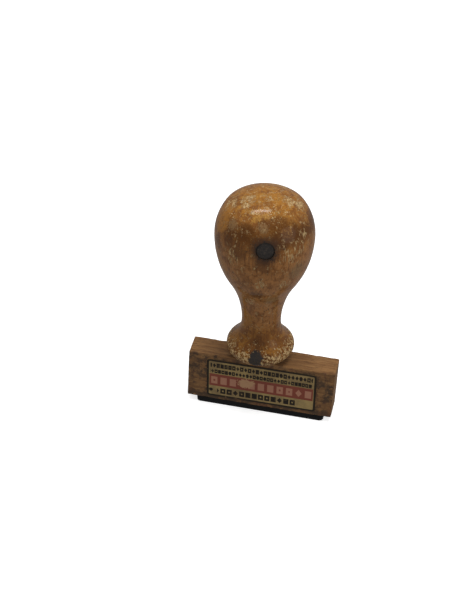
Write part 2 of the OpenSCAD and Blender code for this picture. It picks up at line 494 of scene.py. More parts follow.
# A block as six grids of points, passed through shape() one by one.
def gridBlock(name, size, fine, coarse, shape):
    lines = [gridLine(length, fine, coarse) for length in size]
    points = []
    faces = []
    for axis in range(3):
        first = (axis + 1) % 3
        second = (axis + 2) % 3
        for side in (-1, 1):
            start = len(points)
            rows = len(lines[second])
            for a in lines[first]:
                for b in lines[second]:
                    point = [0.0, 0.0, 0.0]
                    point[axis] = side * size[axis] / 2
                    point[first] = a
                    point[second] = b
                    points.append(shape(Vector(point)))
            for i in range(len(lines[first]) - 1):
                for j in range(rows - 1):
                    corner = start + i * rows + j
                    faces.append((corner, corner + rows, corner + rows + 1, corner + 1))
    return meshFrom(name, points, faces)


# Pulls a point of a box's surface onto a box with edges rounded by the given radius.
def roundedTo(point, size, radius):
    core = Vector([max(-s / 2 + radius, min(s / 2 - radius, v)) for s, v in zip(size, point)])
    out = point - core
    if out.length < 1e-9:
        return point
    return core + out.normalized() * radius


def buildMount(material):
    m = mountShape
    lean = math.tan(math.radians(m["lean"]))
    height = (mountHigh.z - mountLow.z) / mm
    size = ((mountHigh.x - mountLow.x) / mm - height * lean, (mountHigh.y - mountLow.y) / mm, height)

    def shape(point):
        knocked = max(0.0, wander(point, 0.35, 12.3) * 1.6) + 0.6 * max(0.0, wander(point, 1.1, 4.4))
        corner = max(0.0, abs(point.x) - size[0] / 2 + 2.5) / 2.5
        radius = m["edge"] + m["edgeWear"] * (knocked + 0.5 * corner * abs(wander(point, 0.8, 9.9)))
        placed = roundedTo(point, size, radius)
        sunk = m["dent"] * max(0.0, wander(point, 0.3, 7.7))
        placed.y *= 1 - sunk / (size[1] / 2)
        placed.z -= sunk if point.z > 0 else 0
        placed.x += lean * placed.z
        return placed

    mesh = gridBlock("mountBlock", size, m["fineCell"], m["cell"], shape)
    centre = (mountLow + mountHigh) / 2
    mesh.transform(Matrix.Translation(centre) @ Matrix.Scale(mm, 4))
    cone = m["headRadius"] - m["shankRadius"]
    bore = turned("bore", [(0.0, -1.0), (m["headRadius"], -1.0), (m["headRadius"], m["headRecess"]),
                           (m["boreRadius"], m["headRecess"] + cone - 0.1), (m["boreRadius"], height + 1),
                           (0.0, height + 1)], 64)
    bore.transform(Matrix.Translation((handleAxis.x, handleAxis.y, mountLow.z)) @ Matrix.Scale(mm, 4))
    mesh = combined("mount", mesh, [bore], "DIFFERENCE")
    return newPiece("mountBlock", mesh, material, "mount")


# The paper label, glued on a little askew.

labelShape = {
    "length": 39.6,
    "corner": 1.3,
    "edge": 1.7,  # inside the front face's top and bottom edges
    "skew": 0.2,  # degrees
    "cell": 0.3,
    "nickAlong": -9.0,  # the torn nick in the lower edge
    "nickDepth": 0.7,
    "nickWidth": 0.6,
}
labelCentre = Vector(((labelLow.x + labelHigh.x) / 2, labelHigh.y, (labelLow.z + labelHigh.z) / 2))
labelHeight = (mountHigh.z - mountLow.z) / mm - 2 * labelShape["edge"]
labelThickness = (labelHigh.y - labelLow.y) / mm
labelPlace = (Matrix.Translation(labelCentre) @ Matrix.Rotation(math.radians(90), 4, "X")
              @ Matrix.Rotation(math.radians(labelShape["skew"]), 4, "Z"))


def labelOutline(x, y):
    s = labelShape
    r = s["corner"]
    half = (s["length"] / 2, labelHeight / 2)
    inX = abs(x) - half[0] + r
    inY = abs(y) - half[1] + r
    if inX > 0 and inY > 0:
        pull = max(inX, inY) / math.hypot(inX, inY)
        x = math.copysign(half[0] - r + inX * pull, x)
        y = math.copysign(half[1] - r + inY * pull, y)
    low = max(0.0, -y / half[1])
    y += s["nickDepth"] * math.exp(-((x - s["nickAlong"]) / s["nickWidth"]) ** 2) * low ** 8
    ragged = 0.06 * (wander((x, y, 0), 2.3, 1.0) + 0.6 * wander((x, y, 0), 6.0, 2.0) - 0.5)
    x *= 1 + ragged * (abs(x) / half[0]) ** 20 / half[0]
    y *= 1 + ragged * (abs(y) / half[1]) ** 20 / half[1]
    return x, y


def buildLabel(material):
    s = labelShape
    columns = round(s["length"] / s["cell"])
    rows = round(labelHeight / s["cell"])
    points = []
    for level in (0, 1):
        for i in range(columns + 1):
            for j in range(rows + 1):
                x, y = labelOutline((i / columns - 0.5) * s["length"], (j / rows - 0.5) * labelHeight)
                ripple = 0.02 * wander((x, y, 0), 0.5, 3.3) - 0.02
                points.append((x, y, level * (labelThickness * 0.95 + ripple)))
    layer = (columns + 1) * (rows + 1)
    faces = []
    for i in range(columns):
        for j in range(rows):
            a = i * (rows + 1) + j
            quad = (a, a + rows + 1, a + rows + 2, a + 1)
            faces.append(tuple(reversed(quad)))
            faces.append(tuple(v + layer for v in quad))
    rim = [i * (rows + 1) for i in range(columns + 1)]
    rim += [columns * (rows + 1) + j for j in range(1, rows + 1)]
    rim += [i * (rows + 1) + rows for i in range(columns - 1, -1, -1)]
    rim += range(rows - 1, 0, -1)
    for a, b in zip(rim, rim[1:] + rim[:1]):
        faces.append((a, b, b + layer, a + layer))
    mesh = meshFrom("label", points, faces)
    mesh.transform(labelPlace @ Matrix.Scale(mm, 4))
    return newPiece("paperLabel", mesh, material, "label")


# The rubber: a sponge layer and the moulded die with its raised pattern.

rubberShape = {
    "corner": 1.5,
    "sheet": 0.9,
    "relief": 0.8,
    "border": 0.8,
    "pitch": 4.4,
    "lozenge": 2.0,
    "dot": 0.45,
    "draft": 0.12,  # how far the relief widens towards the sheet
    "round": 0.1,  # rounding of the printing edges
    "bulge": 0.08,  # how far the sponge's sides are pulled in
}
dieLow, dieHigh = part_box("rubber_die")
cushionLow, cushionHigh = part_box("cushion")


def plateOutline(half, corner, steps=10):
    points = []
    for index, (x, y) in enumerate([(1, 1), (-1, 1), (-1, -1), (1, -1)]):
        for i in range(steps + 1):
            t = math.radians(90 * (index + i / steps))
            points.append((x * (half[0] - corner) + corner * math.cos(t),
                           y * (half[1] - corner) + corner * math.sin(t)))
    return points


# Cuts long straights of a closed outline into short ones.
def refined(outline, spacing):
    points = []
    for start, end in zip(outline, outline[1:] + outline[:1]):
        points += straight(start, end, spacing)
    return points


# A closed solid from outlines stacked at different heights.
def stacked(name, layers):
    count = len(layers[0][0])
    points = [(x, y, z) for outline, z in layers for x, y in outline]
    faces = [tuple(range(count - 1, -1, -1)), tuple(range(len(points) - count, len(points)))]
    for k in range(len(layers) - 1):
        for i in range(count):
            j = (i + 1) % count
            faces.append((k * count + i, k * count + j, (k + 1) * count + j, (k + 1) * count + i))
    return meshFrom(name, points, faces)


def shrunk(outline, amount):
    reach = max(abs(x) for x, y in outline)
    width = max(abs(y) for x, y in outline)
    return [(x * (1 - amount / reach), y * (1 - amount / width)) for x, y in outline]


def buildCushion(material):
    s = rubberShape
    half = ((cushionHigh.x - cushionLow.x) / 2 / mm, (cushionHigh.y - cushionLow.y) / 2 / mm)
    outline = refined(plateOutline(half, s["corner"]), 0.4)
    thickness = (cushionHigh.z - cushionLow.z) / mm
    layers = []
    for i in range(7):
        level = i / 6
        pull = s["bulge"] * math.sin(math.pi * level)
        ring = []
        for x, y in outline:
            inset = pull + 0.05 * max(0, wander((x, y, level), 1.9, 5.0))
            ring.append((x * (1 - inset / half[0]), y * (1 - inset / half[1])))
        layers.append((ring, level * thickness))
    mesh = stacked("cushion", layers)
    centre = (cushionLow + cushionHigh) / 2
    mesh.transform(Matrix.Translation((centre.x, centre.y, cushionLow.z)) @ Matrix.Scale(mm, 4))
    return newPiece("spongeCushion", mesh, material, "cushion")


def reliefLayers(outline, s):
    base = s["relief"] + 0.1
    return [(shrunk(outline, s["round"]), 0.0),
            (shrunk(outline, s["round"] * 0.3), s["round"] * 0.3),
            (outline, s["round"]),
            (shrunk(outline, -s["draft"]), base)]


def buildDie(material):
    s = rubberShape
    half = ((dieHigh.x - dieLow.x) / 2 / mm, (dieHigh.y - dieLow.y) / 2 / mm)
    outline = refined(plateOutline(half, s["corner"]), 0.5)
    low = s["relief"]
    sheet = stacked("sheet", [(shrunk(outline, 0.12), low), (shrunk(outline, 0.03), low + 0.1),
                              (outline, low + 0.25), (outline, low + s["sheet"])])
    tools = []
    inner = (half[0] - s["border"], half[1] - s["border"])
    borderIn = refined(plateOutline((inner[0] - 0.05, inner[1] - 0.05), s["corner"] - s["border"]), 0.5)
    borderOut = refined(plateOutline((half[0] - 0.05, half[1] - 0.05), s["corner"]), 0.5)
    ring = combined("ring", stacked("outer", [(shrunk(borderOut, s["round"]), 0.0), (borderOut, s["round"]),
                                             (borderOut, s["relief"] + 0.15)]),
                    [stacked("inner", [(shrunk(borderIn, -s["round"] - 0.3), -0.3), (borderIn, s["round"]),
                                       (shrunk(borderIn, s["draft"]), s["relief"] + 0.4)])], "DIFFERENCE")
    tools.append(ring)
    pairs = math.floor((inner[0] * 2 - s["pitch"]) / (2 * s["pitch"]))
    reach = s["lozenge"] / math.sqrt(2)
    lozenge = refined([(reach, 0.0), (0.0, reach), (-reach, 0.0), (0.0, -reach)], 0.4)
    dot = [(s["dot"] * math.cos(2 * math.pi * i / 20), s["dot"] * math.sin(2 * math.pi * i / 20))
           for i in range(20)]
    spots = [(lozenge, i * s["pitch"], 0.0) for i in range(-pairs, pairs + 1)]
    spots += [(dot, (i + 0.5) * s["pitch"], side * (inner[1] - 3 * s["dot"]))
              for i in range(-pairs, pairs) for side in (-1, 1)]
    marks = bmesh.new()
    for shape, x, y in spots:
        piece = stacked("mark", reliefLayers(shape, s))
        piece.transform(Matrix.Translation((x, y, 0)))
        marks.from_mesh(piece)
    joined = bpy.data.meshes.new("marks")
    marks.to_mesh(joined)
    marks.free()
    tools.append(joined)
    mesh = combined("die", sheet, tools, "UNION")
    centre = (dieLow + dieHigh) / 2
    mesh.transform(Matrix.Translation((centre.x, centre.y, dieLow.z)) @ Matrix.Scale(mm, 4))
    return newPiece("rubberDie", mesh, material, "rubber_die")


# Materials.

# colours are linear; a patch is a point in millimetres from the foot's middle, and a radius
handleFinish = {
    "amber": (0.43, 0.178, 0.027),
    "honey": (0.58, 0.300, 0.060),
    "brown": (0.25, 0.095, 0.020),
    "belt": (0.122, 0.041, 0.005),
    "dull": (0.48, 0.207, 0.066),
    "grey": (0.31, 0.180, 0.076),
    "fibre": (0.105, 0.038, 0.010),
    "cream": (0.76, 0.54, 0.270),
    "chalk": (0.50, 0.34, 0.170),
    "ink": (0.034, 0.034, 0.035),
    # halo and stain colour the dark ring round the peg, which paints shade of the hole's rim as well as a
    # stain
    "halo": (0.034, 0.024, 0.019),
    "stain": (0.070, 0.032, 0.016),
    "creamPatches": [((-10.9, -3.4, 64.7), 4.6), ((-5.0, -4.2, 66.9), 4.0), ((-5.2, -6.4, 66.2), 2.8),
                     ((7.8, -0.6, 66.5), 4.6), ((10.8, 0.8, 65.0), 4.4), ((3.2, 9.0, 64.5), 4.8),
                     ((-9.5, 8.5, 61.0), 4.2), ((1.5, -2.5, 67.8), 2.2)],
    "scuffPatches": [((-2.6, -9.0, 65.7), 3.4), ((4.2, -7.9, 65.9), 3.6), ((8.5, -6.0, 64.8), 3.2),
                     ((-8.0, -8.6, 63.0), 3.4), ((-7.0, 10.5, 62.5), 4.6), ((12.5, 8.0, 60.0), 4.0)],
    "honeyPatches": [((2.0, -9.8, 65.3), 2.3), ((0.2, -10.7, 64.9), 2.3), ((-1.4, -11.3, 64.5), 1.8),
                     ((-4.5, -9.6, 63.9), 1.8)],
    "amberPatches": [((-13.2, -6.4, 60.6), 7.5), ((-12.5, -7.0, 43.5), 8.0), ((-7.0, -3.5, 31.0), 7.0),
                     ((-6.0, -4.5, 20.0), 6.5), ((-8.5, -7.5, 33.0), 6.5), ((-9.6, -4.0, 9.0), 5.0),
                     ((10.5, 9.8, 56.0), 8.0), ((5.0, 6.0, 22.0), 7.0)],
    "beltPatches": [((6.6, -11.0, 62.8), 5.8), ((10.0, -9.5, 61.0), 5.0), ((-3.4, -13.6, 61.0), 4.6),
                    ((2.0, -12.0, 63.2), 4.0)],
    "greyPatches": [((1.6, -12.9, 63.1), 3.0), ((-8.6, -11.4, 61.6), 3.2), ((9.5, 10.5, 61.5), 3.5),
                    ((12.5, -9.5, 46.0), 5.0), ((-12.5, 9.5, 52.0), 4.0), ((5.0, -9.5, 32.0), 4.0)],
    "darkPatches": [((-9.0, -13.4, 56.0), 3.8), ((1.0, -9.2, 12.0), 5.0), ((-5.5, -14.5, 54.0), 5.5),
                    ((7.5, -13.4, 58.6), 4.5), ((-4.0, 15.0, 50.0), 6.0), ((3.0, -15.8, 50.5), 5.0),
                    ((4.4, -10.3, 6.4), 3.4), ((-12.5, -9.5, 53.0), 4.5), ((0.4, -12.0, 36.0), 4.0)],
    "scratchPatches": [((13.2, -9.6, 55.4), 4.8), ((10.6, -12.7, 53.4), 4.2), ((13.8, -6.6, 59.0), 3.0),
                       ((-7.0, -13.6, 51.5), 4.2), ((9.0, -11.6, 41.3), 3.2), ((-2.5, -9.2, 30.0), 3.0),
                       ((-9.0, 12.5, 52.0), 6.0), ((2.0, -14.8, 42.0), 3.2)],
    "crownLevels": (64.6, 66.2),
    "shoulderLevels": (61.2, 65.6, 1.2),     # from, to and softness
    "beltLevels": (56.4, 61.6, 2.2),
    "dullLevels": (17.0, 55.5, 5.0),
    "footLevels": (13.0, 9.0),
    "footRingLevels": (2.8, 8.4, 1.8),
    "haloRadius": 8.0,  # of the dark ring around the peg, partly stain and partly painted shade of the hole's rim
    "haloCore": 5.6,
    "bumpDepth": 0.18,
    "inkPlace": ((0.7, -11.3, 7.0), 4.0, (1.10, 0.8, 0.75)),
    "glint": ((0.2, -7.7, 66.5), 3.6),
}


def handlePaint():
    c = handleFinish
    p = Paint("lacqueredBeech")
    here = p.place(handleAxis)
    z = p.split(here)[2]
    fibre = p.noise(p.stretch(here, (1.0, 1.0, 0.075)), 1.3, 5.0, 0.60, 0.2)
    pores = p.step(p.noise(p.stretch(here, (1.0, 1.0, 0.18)), 3.2, 2.0, 0.5), 0.62, 0.70)
    cloud = p.noise(here, 0.085, 3.0, 0.5, 0.5)
    mottle = p.noise(here, 0.26, 6.0, 0.62, 0.9)
    blotch = p.noise(p.stretch(here, (1.0, 1.0, 0.7)), 0.85, 5.0, 0.65, 0.8)
    grit = p.noise(here, 2.3, 4.0, 0.62, 0.4)
    speck = p.noise(p.stretch(here, (1.0, 1.0, 0.8)), 1.55, 3.0, 0.6, 0.2)
    tone = loud(mottle, 5.0) + loud(blotch, 3.0) + loud(grit, 1.6)
    level = z + loud(mottle, 5.5) + loud(cloud, 3.0) + loud(blotch, 2.5)

    # zones from the crown down: amber, scuffed brown, a dark belt, dull wood, an amber neck and foot
    crown = p.step(level, *c["crownLevels"])
    shoulder = p.band(level, *c["shoulderLevels"])
    belt = p.band(level, *c["beltLevels"])
    dullZone = p.band(level, *c["dullLevels"])
    footZone = p.step(level, *c["footLevels"])
    colour = p.mix(p.step(tone, -0.6, 0.7), c["brown"], c["amber"])
    colour = p.mix(shoulder * p.step(tone + loud(grit, 2.0), -0.3, 1.0) * 0.42, colour, c["grey"])
    colour = p.mix(dullZone * p.step(tone, -0.9, 0.5) * 0.95, colour, c["dull"])
    colour = p.mix(belt * (0.92 - p.step(tone, 0.2, 1.2) * 0.45), colour, c["belt"])
    colour = p.mix(crown, colour, p.mix(p.step(tone, -0.9, 0.3), c["brown"], c["amber"]))
    colour = p.mix(crown * p.step(tone, 0.15, 0.75) * 0.8, colour, c["honey"])
    red = p.spots(here, c["beltPatches"]) + tone * 0.30
    colour = p.mix(p.step(red, 0.10, 0.80) * 0.80, colour, c["belt"])
    amber = p.spots(here, c["amberPatches"]) + tone * 0.35
    colour = p.mix(p.step(amber, 0.05, 0.60) * 0.90, colour, c["amber"])
    honey = p.spots(here, c["honeyPatches"]) + tone * 0.5 + loud(grit, 3.0)
    colour = p.mix(p.step(honey, 0.30, 1.20) * 0.85, colour, c["honey"])
    grey = p.spots(here, c["greyPatches"]) + loud(grit, 2.5) + tone * 0.3
    colour = p.mix(p.step(grey, 0.20, 0.90) * 0.75, colour, c["grey"])
    dark = p.spots(here, c["darkPatches"]) + loud(fibre, 2.5) + tone * 0.3
    colour = p.mix(p.step(dark, 0.10, 0.95) * 0.70, colour, c["fibre"])
    colour = p.mix(p.step(fibre, 0.50, 0.72) * 0.35, colour, c["fibre"])
    colour = p.mix(p.step(loud(blotch, 5.0) + loud(grit, 3.0), 0.25, 1.1) * 0.50, colour, c["fibre"])
    colour = p.mix(pores * 0.50, colour, c["fibre"])

    # lacquer flaked down to pale wood on the shoulder, and a rubbed, flecked ring around the foot
    footRing = p.band(z + loud(mottle, 4.0), *c["footRingLevels"])
    flake = p.noise(p.stretch(here, (1.0, 0.8, 1.3)), 0.50, 6.0, 0.70, 0.4)
    flakeField = loud(flake, 4.5) + p.spots(here, c["creamPatches"]) * 1.15
    flakeField = flakeField + loud(grit, 3.0) + loud(speck, 2.0)
    chip = p.step(flakeField, 0.85, 1.45)
    chipRim = p.step(flakeField, 0.45, 0.90) * (1 - chip)
    scuffField = loud(speck, 7.0) + p.spots(here, c["scuffPatches"]) * 0.62 + footRing * 1.0
    scuffField = scuffField + crown * 0.22 + footZone * 0.30 + loud(flake, 3.0)
    scuff = p.step(scuffField - belt * 0.35 - dullZone * 0.15, 1.20, 1.60)
    hair = p.noise(p.stretch(here, (1.0, 1.0, 0.17)), 1.0, 2.0, 0.5, 0.3)
    hairLine = p.step(p.size(loud(hair, 2.0)), 0.13, 0.04)
    lines = p.noise(p.stretch(here, (1.0, 1.0, 0.5)), 0.8, 3.0, 0.60, 0.3)
    hairGate = loud(lines, 5.0) + p.spots(here, c["scratchPatches"]) * 1.05 + dullZone * 0.10
    scratch = hairLine * p.step(hairGate, 0.50, 0.95)
    curl = p.noise(here, 0.62, 3.0, 0.6, 0.7)
    nick = p.step(p.size(loud(curl, 2.0)), 0.10, 0.03) * p.step(loud(lines, 5.0) + crown * 0.3, 0.45, 0.7)
    pale = p.mix(p.step(loud(grit, 4.0) + loud(speck, 4.0), -0.6, 0.8), c["chalk"], c["cream"])
    colour = p.mix(chipRim * 0.40, colour, c["grey"])
    colour = p.mix(footRing * p.step(loud(speck, 5.0), 0.1, -0.7) * 0.6, colour, c["fibre"])
    colour = p.mix(chip * 0.90, colour, pale)
    colour = p.mix(scuff * 0.85, colour, pale)
    colour = p.mix(p.both(scratch * 0.78, nick * 0.45), colour, pale)

    # a dark ring around the peg, partly a stain and partly painted shade of the hole's rim; an ink stain on
    # the front of the foot; the foot's bottom darkened, partly grime and partly painted contact shade where
    # it stands on the mount
    pegSpot = (pegPlace().translation - handleAxis) / mm
    # the dark ring round the peg is partly a stain and partly painted shade standing in for the shadow of
    # the hole's rim
    halo = p.spot(here, pegSpot, c["haloRadius"]) + loud(grit, 0.8) + tone * 0.12
    colour = p.mix(p.step(halo, 0.15, 0.85) * 0.80, colour, c["stain"])
    core = p.spot(here, pegSpot, c["haloCore"]) + loud(grit, 0.8) + loud(blotch, 1.0)
    colour = p.mix(p.step(core, 0.30, 0.75) * 0.95, colour, c["halo"])
    ink = p.spot(here, *c["inkPlace"]) + loud(grit, 1.5) + loud(blotch, 2.2)
    colour = p.mix(p.step(ink, 0.30, 0.72) * 0.95, colour, c["ink"])
    # painted shade: the lowest few millimetres of the foot turn dark, standing in for contact shade as well
    # as grime
    grimeAndShade = p.step(z + loud(mottle, 4.0), 4.4, 1.8)
    colour = p.mix(grimeAndShade * 0.85, colour, c["fibre"])

    worn = p.both(p.both(chip, scuff), p.both(scratch, grimeAndShade))
    smooth = p.spot(here, *c["glint"])
    rough = 0.42 + worn * 0.28 + mottle * 0.16 + dullZone * 0.06
    relief = fibre * 0.15 + mottle * 0.4 + blotch * 0.45 + grit * 0.25 - pores * 0.3
    relief = relief - chip * 0.5 - scuff * 0.4 - scratch * 0.4
    relief = relief * (1 - smooth * 0.80)
    return p.finish(Base_Color=colour, Roughness=rough, Normal=p.bump(relief, c["bumpDepth"] * mm, 0.9),
                    Coat_Weight=(1 - worn) * (0.50 + smooth * 0.45), Coat_Roughness=0.11, Coat_IOR=1.4,
                    IOR=1.45, Specular_IOR_Level=0.10)


mountFinish = {
    "light": (0.34, 0.172, 0.066),
    "dark": (0.19, 0.092, 0.036),
    "streak": (0.44, 0.245, 0.100),
    "pore": (0.070, 0.038, 0.022),
    # the dark smudge colour, which also paints the shade along the front's lower edge
    "grimeAndShade": (0.058, 0.041, 0.030),
    "blush": (0.27, 0.105, 0.048),
    "bumpDepth": 0.14,
    "glueReach": 1.6,  # how far the grime round the label reaches
    # lowReach: how high the painted shade along the front's lower edge reaches
    "lowReach": 4.0,
    "leftReach": 6.0,
    "rightReach": 8.0,
}


def mountPaint():
    c = mountFinish
    p = Paint("mountWood")
    centre = (mountLow + mountHigh) / 2
    here = p.place(centre)
    x, y, z = p.split(here)
    half = (mountHigh - mountLow) / 2 / mm
    grain = p.noise(p.stretch(here, (0.05, 1.0, 1.0)), 1.1, 5.0, 0.6, 0.35)
    fine = p.noise(p.stretch(here, (0.07, 1.0, 1.0)), 4.5, 4.0, 0.6)
    pores = p.step(p.noise(p.stretch(here, (0.12, 1.0, 1.0)), 5.0, 2.0, 0.5), 0.63, 0.71)
    cloud = p.noise(here, 0.11, 3.0, 0.55)
    mottle = p.noise(here, 0.55, 5.0, 0.65, 0.4)
    colour = p.mix(p.step(grain, 0.35, 0.66), c["dark"], c["light"])
    colour = p.mix(p.step(fine + cloud * 0.4, 0.70, 0.86) * 0.6, colour, c["streak"])
    colour = p.mix(pores * 0.7, colour, c["pore"])
    front = p.step(y, -half.y + 0.7, -half.y + 0.2)
    # painted shade: the front face darkens towards its bottom edge, next to the floor
    lowEdge = p.step(z, -half.z + c["lowReach"], -half.z + 0.2)
    leftEnd = p.step(x, -half.x + c["leftReach"], -half.x + 1.0) * front
    u, v = p.split(p.onLabel())[:2]
    beyondX = p.size(u) - labelShape["length"] / 2
    beyondY = p.size(v) - labelHeight / 2
    glue = p.step(p.both(beyondX, beyondY), c["glueReach"], 0.2) * front
    rightEnd = p.step(x, half.x - c["rightReach"], half.x - 1.0) * front
    # real smudges on the front, round the label and at the ends, mixed with the painted shade along the
    # lower edge
    smudgeAndLowShade = (loud(mottle, 5.0) + loud(cloud, 3.0)) * (front * 0.6 + 0.4) + front * 0.25
    smudgeAndLowShade = p.step(smudgeAndLowShade + glue * 0.55 + lowEdge * 0.65 + leftEnd * 0.55 + rightEnd * 0.45, 0.30, 1.35)
    colour = p.mix(smudgeAndLowShade * 0.80, colour, c["grimeAndShade"])
    blush = p.step(loud(mottle, 5.0) - loud(cloud, 6.0), 0.2, 1.0) * front
    colour = p.mix(blush * 0.35, colour, c["blush"])
    rough = 0.52 + mottle * 0.2 + smudgeAndLowShade * 0.1
    saw = p.noise(p.stretch(here, (0.2, 1.0, 0.25)), 3.0, 3.0, 0.6)
    relief = grain * 0.5 + fine * 0.4 - pores * 0.6 + mottle * 0.3 + saw * 0.25
    return p.finish(Base_Color=colour, Roughness=rough, Normal=p.bump(relief, c["bumpDepth"] * mm, 0.8),
                    IOR=1.45, Specular_IOR_Level=0.3)


labelFinish = {
    "paper": (0.49, 0.345, 0.138),
    "stain": (0.27, 0.185, 0.085),
    "print": (0.022, 0.014, 0.008),
    "red": (0.33, 0.085, 0.050),
    "faint": (0.56, 0.27, 0.170),
    "bare": (0.58, 0.33, 0.175),
    "border": (-0.86, -0.76),  # the dark border, from the paper's edge
    "redLevels": (-3.53, 1.98, 0.05),
    "topRow": (5.85, 1.42, 0.62, 1.00, 3.0, 0.04),   # level, pitch, half width, half height, seed, gaps
    "secondRow": (3.20, 1.26, 0.56, 0.86, 17.0, 0.04),
    "redRow": (-0.90, 3.40, 1.15, 1.62, 41.0, 0.04),
    "lowRow": (-5.65, 2.30, 0.96, 1.22, 29.0, 0.07),
    "lowRowReach": (-1.6, 14.4),  # its middle and half its length
    "cornerMark": ((-18.2, -5.5, 0), 1.0, (1, 1, 0)),
    "rubbed": ((-5.4, -0.4, 0), 3.4, (0.66, 1.0, 0)),
    "bumpDepth": 0.05,
}


def labelPaint():
    c = labelFinish
    s = labelShape
    p = Paint("labelPaper")
    flat = p.onLabel()
    u, v, w = p.split(flat)
    fibre = p.noise(flat, 1.4, 5.0, 0.65, 0.3)
    cloud = p.noise(flat, 0.16, 3.0, 0.55, 0.4)
    rub = p.noise(flat, 0.7, 7.0, 0.7, 0.8)

    # distance from the paper's edge, negative inside
    across = p.size(u) - (s["length"] / 2 - s["corner"])
    along = p.size(v) - (labelHeight / 2 - s["corner"])
    outX = p.both(across, 0.0)
    outY = p.both(along, 0.0)
    rounding = (outX * outX + outY * outY) ** 0.5
    edge = rounding + p.least(p.both(across, along), 0.0) - s["corner"]
    border = p.step(edge, *c["border"])

    # rows of plain blocks, discs and lozenges stand where a label has its lines of print
    def row(level, pitch, wide, tall, seed, skip):
        along = u / pitch + 100.5
        index = p.floor(along)
        across = p.size(along - index - 0.5) * (pitch / wide)
        rise = p.size(v - level) / tall
        pick = p.chance(index + seed)
        block = p.both(across, rise)
        hollow = p.both(block, (0.28 - block) * 10.0 + 1.0)
        lozenge = across + rise
        disc = (across * across + rise * rise) ** 0.5
        form = p.both(block, p.step(pick, 0.19, 0.17) * lozenge)
        form = p.both(form, p.step(pick, 0.82, 0.84) * disc)
        form = p.both(form, p.band(pick, 0.18, 0.50, 0.01) * hollow)
        soft = 0.07 / tall
        return p.step(form, 1 + soft, 1 - soft) * p.step(pick, 1 - skip, 0.999 - skip)

    inside = p.step(p.size(u), s["length"] / 2 - 1.3, s["length"] / 2 - 1.4)
    dark = p.both(row(*c["topRow"]), row(*c["secondRow"]))
    dark = dark * inside
    lowMiddle, lowReach = c["lowRowReach"]
    lower = row(*c["lowRow"]) * p.step(p.size(u - lowMiddle), lowReach, lowReach - 0.1)
    corner = p.spot(flat, *c["cornerMark"])
    dark = p.both(dark, p.both(lower, p.step(corner, 0.2, 0.4)))
    redBand = p.band(v, *c["redLevels"]) * p.step(edge, -0.95, -1.1)
    marks = row(*c["redRow"]) * inside

    paper = p.mix(p.step(cloud + fibre * 0.35, 0.45, 0.9), c["stain"], c["paper"])
    colour = p.mix(redBand, paper, p.mix(fibre, c["red"], tuple(0.7 * k for k in c["red"])))
    colour = p.mix(marks * redBand * 0.85, colour, c["faint"])
    faded = p.step(rub, 0.66, 0.52) * 0.3 + 0.7
    colour = p.mix(dark * faded, colour, c["print"])

    # a rubbed patch left of the middle of the red band, small scuffs and dirty edges
    patch = p.step(p.spot(flat, *c["rubbed"]) + loud(rub, 3.0), 0.55, 0.75)
    scuff = p.step(rub + p.step(edge, -1.2, 0.0) * 0.08, 0.70, 0.74)
    colour = p.mix(p.both(patch, scuff * 0.8), colour, c["bare"])
    colour = p.mix(p.step(edge + cloud * 1.2, -0.2, 0.6) * 0.6, colour, c["stain"])
    colour = p.mix(border * (0.98 - scuff * 0.5), colour, c["print"])
    thick = p.step(w, labelThickness * 0.7, labelThickness * 0.4)
    colour = p.mix(thick, colour, c["stain"])
    rough = 0.5 + rub * 0.2
    relief = fibre * 0.5 + rub * 0.3 - p.both(patch, scuff) * 0.5
    return p.finish(Base_Color=colour, Roughness=rough, Normal=p.bump(relief, c["bumpDepth"] * mm, 0.7),
                    IOR=1.45, Specular_IOR_Level=0.3)


pegFinish = {
    "stops": ((0.3, (0.014, 0.011, 0.010)), (0.55, (0.032, 0.025, 0.021)), (0.72, (0.11, 0.080, 0.056))),
    "bumpDepth": 0.15,
}
rubberFinish = {
    "sponge": ((0.011, 0.010, 0.010), 4.5, 0.12),    # colour, scale and depth of the pores
    "die": ((0.007, 0.007, 0.008), 9.0, 0.03),
}
steelFinish = {
    "bright": (0.55, 0.54, 0.52),
    "dull": (0.30, 0.25, 0.20),
    "bumpDepth": 0.03,
}


def pegPaint():
    p = Paint("darkPeg")
    here = p.place(pegPlace().translation)
    grit = p.noise(here, 1.6, 6.0, 0.7, 0.4)
    fine = p.noise(here, 6.0, 3.0, 0.6)
    colour = p.ramp(grit, *pegFinish["stops"])
    rough = 0.45 + grit * 0.3
    return p.finish(Base_Color=colour, Roughness=rough, IOR=1.5,
                    Normal=p.bump(grit + fine * 0.4, pegFinish["bumpDepth"] * mm, 0.9))


def rubberPaint(name, tone, poreScale, poreDepth):
    p = Paint(name)
    here = p.place()
    dust = p.noise(here, 0.8, 6.0, 0.7, 0.3)
    pores = p.step(p.noise(here, poreScale, 2.0, 0.5), 0.56, 0.70)
    colour = p.mix(p.step(dust, 0.5, 0.8) * 0.4, tone, tuple(0.012 + 2 * k for k in tone))
    colour = p.mix(pores * 0.5, colour, tuple(0.4 * k for k in tone))
    rough = 0.55 + dust * 0.25
    return p.finish(Base_Color=colour, Roughness=rough, IOR=1.52, Specular_IOR_Level=0.2,
                    Normal=p.bump(dust * 0.3 - pores, poreDepth * mm, 0.8))


def steelPaint():
    p = Paint("screwSteel")
    here = p.place(handleAxis)
    brushed = p.noise(p.stretch(here, (1.0, 1.0, 6.0)), 2.0, 4.0, 0.6)
    stain = p.noise(here, 0.5, 4.0, 0.6)
    colour = p.mix(p.step(stain, 0.5, 0.8), steelFinish["bright"], steelFinish["dull"])
    return p.finish(Base_Color=colour, Metallic=1.0, Roughness=0.28 + brushed * 0.2,
                    Normal=p.bump(brushed, steelFinish["bumpDepth"] * mm, 0.5))


# The studio: floor, lights, surroundings and camera.

